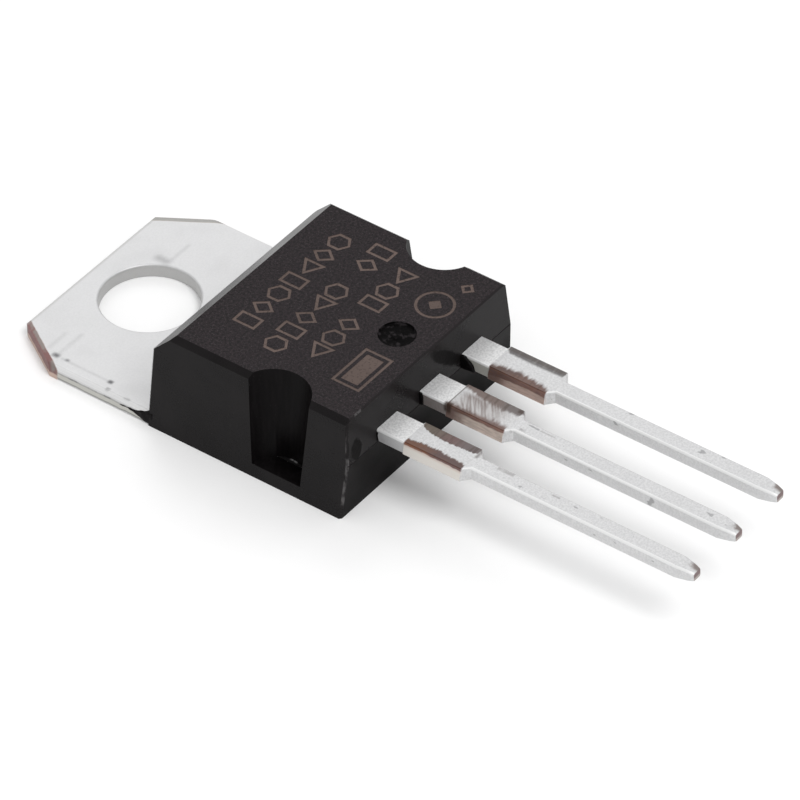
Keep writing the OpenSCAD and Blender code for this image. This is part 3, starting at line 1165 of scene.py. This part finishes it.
def makeTabFrame(strip, lead, materials):
    bm = bmesh.new()
    w, p, s = strip["tabWidth"] / 2, strip["padWidth"] / 2, lead["shoulderWidth"] / 2
    cutX, cutY = strip["cornerCut"]
    half = [
        (w - cutX, strip["endY"]),
        (w, strip["endY"] - cutY),
        (w, strip["rootY"]),
        (p, strip["rootY"]),
        (p, strip["padEndY"]),
        (s, strip["padEndY"]),
    ]
    outline = half + [(-x, y) for x, y in reversed(half)]
    extrudeUp(bm, outline, 0, stripThickness)
    bm.normal_update()
    face = endFace(bm, strip["padEndY"], 0, lead["shoulderWidth"])
    # up from the pad in two equal bends
    run = strip["padEndY"] - endY - lead["middleRun"]
    rise = lead["low"] - stripThickness - 2 * lead["bendRadius"]
    gap = 2 * lead["bendRadius"] + stripThickness
    apart = math.hypot(run, rise)
    angle = math.degrees(math.atan2(rise, run) + math.asin(gap / apart))
    straight = math.sqrt(apart**2 - gap**2)
    lowCentre = (strip["padEndY"], stripThickness + lead["bendRadius"])
    highCentre = (endY + lead["middleRun"], lead["low"] - lead["bendRadius"])
    face = bendFace(bm, face, lowCentre, -angle, 8)
    along = Vector((0, -math.cos(math.radians(angle)), math.sin(math.radians(angle))))
    _, face = extruded(bm, [face], along * straight)
    face = bendFace(bm, face, highCentre, angle, 8)
    pullLead(bm, face, 0, lead, leadLooks["middle_lead"]["extra"])
    dropInnerWalls(bm)
    longEdges = edgesWhere(
        bm,
        lambda a, b: min(a.z, b.z) > stripThickness - near
        and max(a.z, b.z) < stripThickness + near
        and min(a.y, b.y) > strip["rootY"] - near
        and min(abs(a.x), abs(b.x)) > w - near,
    )
    bevelEdges(bm, longEdges, strip["roll"], 4)
    piece = asObject("tab_and_middle_lead", bm, materials)
    # the screw hole, with a rounded rim on the punch side
    bm = bmesh.new()
    r, roll, edge = strip["holeRadius"], strip["holeRoll"], strip["holeRound"]
    arc = [
        (r + roll * (1 - math.cos(t)), stripThickness - roll * (1 - math.sin(t)))
        for t in (math.radians(step * 22.5) for step in range(5))
    ]
    outline = [(0, -past), (r + edge, -past), (r + edge, 0), (r, edge)] + arc
    outline += [(r + roll, stripThickness + past), (0, stripThickness + past)]
    turned(bm, outline, (0, 0), 96)
    hole = asObject("hole", bm, materials)
    cutWith(piece, hole)
    applyAll(piece, [hole])
    return piece


def makeOuterLead(name, side, lead, materials):
    bm = bmesh.new()
    x = side * leadPitch
    w, s, cut = lead["postWidth"] / 2, lead["shoulderWidth"] / 2, lead["postCut"]
    nearY = endY + lead["postToEnd"]
    farY = nearY + lead["postLength"]
    half = [(s, nearY), (w, nearY), (w, farY - cut), (w - cut, farY)]
    outline = [(x + across, y) for across, y in half]
    outline += [(x - across, y) for across, y in reversed(half)]
    extrudeUp(bm, outline, lead["low"], lead["low"] + stripThickness)
    bm.normal_update()
    face = endFace(bm, nearY, x, lead["shoulderWidth"])
    pullLead(bm, face, x, lead, leadLooks[name]["extra"])
    dropInnerWalls(bm)
    return asObject(name + "_strip", bm, materials)


# Thin resin that ran out of the mould. Each sheet has its side outline as (y, z) and its x range.
flash = {
    "besideOutputLead": (
        [(-12.9, 2.43), (-12.9, 2.98), (-13.14, 2.97), (-13.44, 2.74), (-13.52, 2.46)],
        (1.80, 1.95),
    ),
    "besideMiddleLead": (
        [(-12.9, 2.43), (-12.9, 2.97), (-13.06, 2.95), (-13.10, 2.46)],
        (-0.68, -0.60),
    ),
    "besideInputLead": (
        [(-12.9, 2.43), (-12.9, 2.90), (-12.97, 2.86), (-12.99, 2.46)],
        (-3.21, -3.15),
    ),
    "onTabEdge": (
        [(-2.60, 0.28), (-3.00, 0.31), (-3.20, 0.29), (-3.48, 0.20), (-3.75, 0.08), (-4.15, 0.02),
         (-4.15, 0.59), (-3.88, 0.56), (-3.70, 0.48), (-3.45, 0.42), (-3.10, 0.38), (-2.70, 0.33)],
        (-5.125, -4.86),
    ),
}
flashSurface = {
    "round": 0.018,
    "ragged": 0.035,  # how far its surface wanders
    "lumps": 5,  # per mm
    "seed": 4,
}


def makeFlash(flash, surface, materials):
    bm = bmesh.new()
    for outline, (nearX, farX) in flash.values():
        solidFrom(bm, [(nearX, y, z) for y, z in outline], (farX - nearX, 0, 0))
    bevelEdges(bm, bm.edges[:], surface["round"], 2)
    bmesh.ops.triangulate(bm, faces=bm.faces[:])
    bmesh.ops.subdivide_edges(bm, edges=bm.edges[:], cuts=2, use_grid_fill=True)
    noise.seed_set(surface["seed"])
    for v in bm.verts:
        v.co += noise.noise_vector(v.co * surface["lumps"]) * surface["ragged"]
    return asObject("resin_flash", bm, materials)


def makeCase(case, strip, materials):
    body = asObject("case", caseBlock(case), materials, smooth)
    cutters = caseCutters(case, strip, materials)
    for cutter in cutters:
        cutWith(body, cutter)
    roundEdges(body, case["edgeRound"], 2, 25)
    applyAll(body, cutters)
    for polygon in body.data.polygons:
        up, middle = polygon.normal.z, polygon.center
        if up > 0.999 and middle.z > topZ - near:
            polygon.material_index = grained
        elif up < -0.03 and middle.y < endY + 0.3 and middle.z < partingZ:
            polygon.material_index = under
    marks = markCutter(marking, materials)
    cutWith(body, marks)
    applyAll(body, [marks])
    return body


caseMaterials = [makeMaterial(mouldingLook) for makeMaterial in caseFinishes]
finishPiece(makeCase(case, strip, caseMaterials), "moulded_body", 25)

tabFinish = tabTin("tab_tin", metalLook, strip, tabMarks)
middleFinish = leadTin("middle_lead_tin", metalLook, lead, leadLooks["middle_lead"])
tabFrame = makeTabFrame(strip, lead, [tabFinish, middleFinish])
for polygon in tabFrame.data.polygons:
    onLead = polygon.center.y < endY + 1.5 and polygon.center.z > 1
    polygon.material_index = 1 if onLead else 0
finishPiece(tabFrame, "tab_frame")

for name, side in (("input_lead", -1), ("output_lead", 1)):
    look = leadTin(name + "_tin", metalLook, lead, leadLooks[name])
    finishPiece(makeOuterLead(name, side, lead, [look]), name)

resin = makeFlash(flash, flashSurface, [caseMaterials[notched]])
finishPiece(resin)

wire = ((0.78, 0.78, 0.80), 1.0, 0.25, 12)
inside = {  # colour, metallic, roughness, grains in a millimetre
    "chip": ((0.10, 0.11, 0.13), 0.4, 0.15, 4),
    "chip_solder": ((0.42, 0.42, 0.43), 1.0, 0.45, 6),
    "input_wire": wire,
    "output_wire": wire,
    "ground_wire": wire,
}
for name, values in inside.items():
    finish = hiddenFinish(name + "_finish", *values)
    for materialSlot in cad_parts[name].material_slots:
        materialSlot.material = finish
print("pieces made")


studio = {
    "floorSize": 2000,
    "floorShade": (0.96, 0.96, 0.96),
    "worldShade": (1.0, 1.0, 1.0),
    "worldStrength": 0.75,
    "lightsAim": (0, -10, 0),
    "lights": [
        # name, place, size, watts
        ("overhead", (-50, -270, 420), 240, 1.0),
        ("back", (300, 240, 360), 260, 0.32),
    ],
}


def makeFloor(studio):
    bm = bmesh.new()
    bmesh.ops.create_grid(bm, x_segments=1, y_segments=1, size=studio["floorSize"] / 2)
    finish = Finish("paper")
    shade = studio["floorShade"]
    colour = finish.mix(finish.noise(0.8, 3, 0.5), toned(shade, 0.985), shade)
    paper = finish.set(colour=colour, roughness=0.9, specular=0.1)
    floor = asObject("floor", bm, [paper])
    floor.data.transform(Matrix.Scale(mm, 4))


def makeLights(studio):
    for name, place, size, watts in studio["lights"]:
        light = bpy.data.lights.new(name, "AREA")
        light.shape = "DISK"
        light.size = size * mm
        light.energy = watts
        hang(name, light, place, Vector(studio["lightsAim"]) - Vector(place))
    world = bpy.data.worlds.new("studio")
    world.use_nodes = True
    background = world.node_tree.nodes["Background"]
    background.inputs["Color"].default_value = (*studio["worldShade"], 1)
    background.inputs["Strength"].default_value = studio["worldStrength"]
    scene.world = world


makeFloor(studio)
makeLights(studio)
print("studio made")
